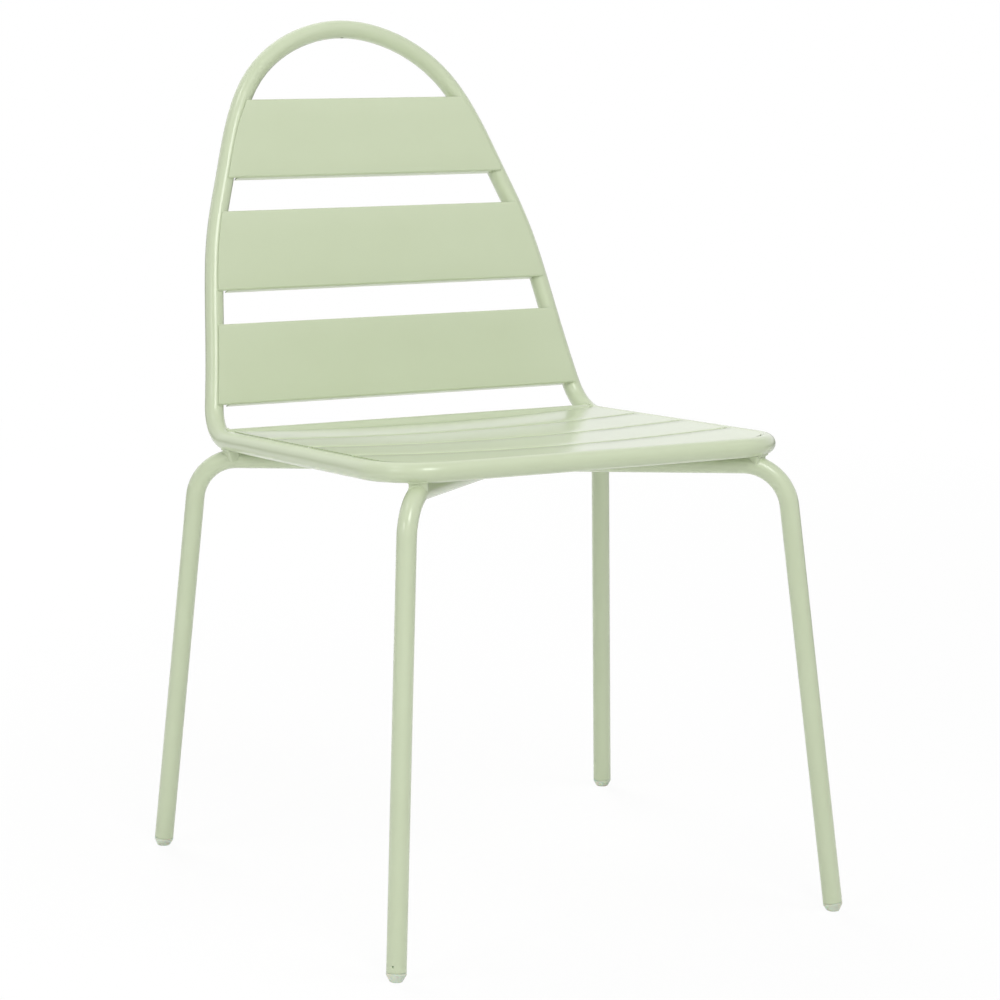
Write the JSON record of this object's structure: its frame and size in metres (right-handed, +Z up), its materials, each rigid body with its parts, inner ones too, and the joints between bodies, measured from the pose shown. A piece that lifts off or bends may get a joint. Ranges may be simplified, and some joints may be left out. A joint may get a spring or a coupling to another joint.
{
  "type": "garden chair",
  "caption": "Armless stackable garden chair of bent round steel tube with folded sheet steel slats, an arched back and crossed leg hoops on plastic feet.",
  "frame": {"origin": "on the floor, under the middle of the chair's bounding box", "axes": "+Z up, -Y the way the sitter faces, +X to the sitter's left"},
  "size_m": [0.5482, 0.6422, 0.833],
  "materials": {
    "powder_coat": "semi-gloss sage green powder coat",
    "foot_plastic": "pale translucent grey-green plastic"
  },
  "bodies": {
    "root": {"seat_back_loop": "powder_coat", "leg_hoop_whole": "powder_coat", "leg_hoop_front_half": "powder_coat", "leg_hoop_rear_half": "powder_coat", "back_slat_top": "powder_coat", "back_slat_middle": "powder_coat", "back_slat_bottom": "powder_coat", "seat_slat_front": "powder_coat", "seat_slat_second": "powder_coat", "seat_slat_third": "powder_coat", "seat_slat_rear": "powder_coat", "rear_cross_tube": "powder_coat", "corner_spacer_front_left": "powder_coat", "corner_spacer_front_right": "powder_coat", "corner_spacer_rear_left": "powder_coat", "corner_spacer_rear_right": "powder_coat", "foot_cap_front_left": "foot_plastic", "foot_cap_front_right": "foot_plastic", "foot_cap_rear_left": "foot_plastic", "foot_cap_rear_right": "foot_plastic"}
  },
  "joints": []
}
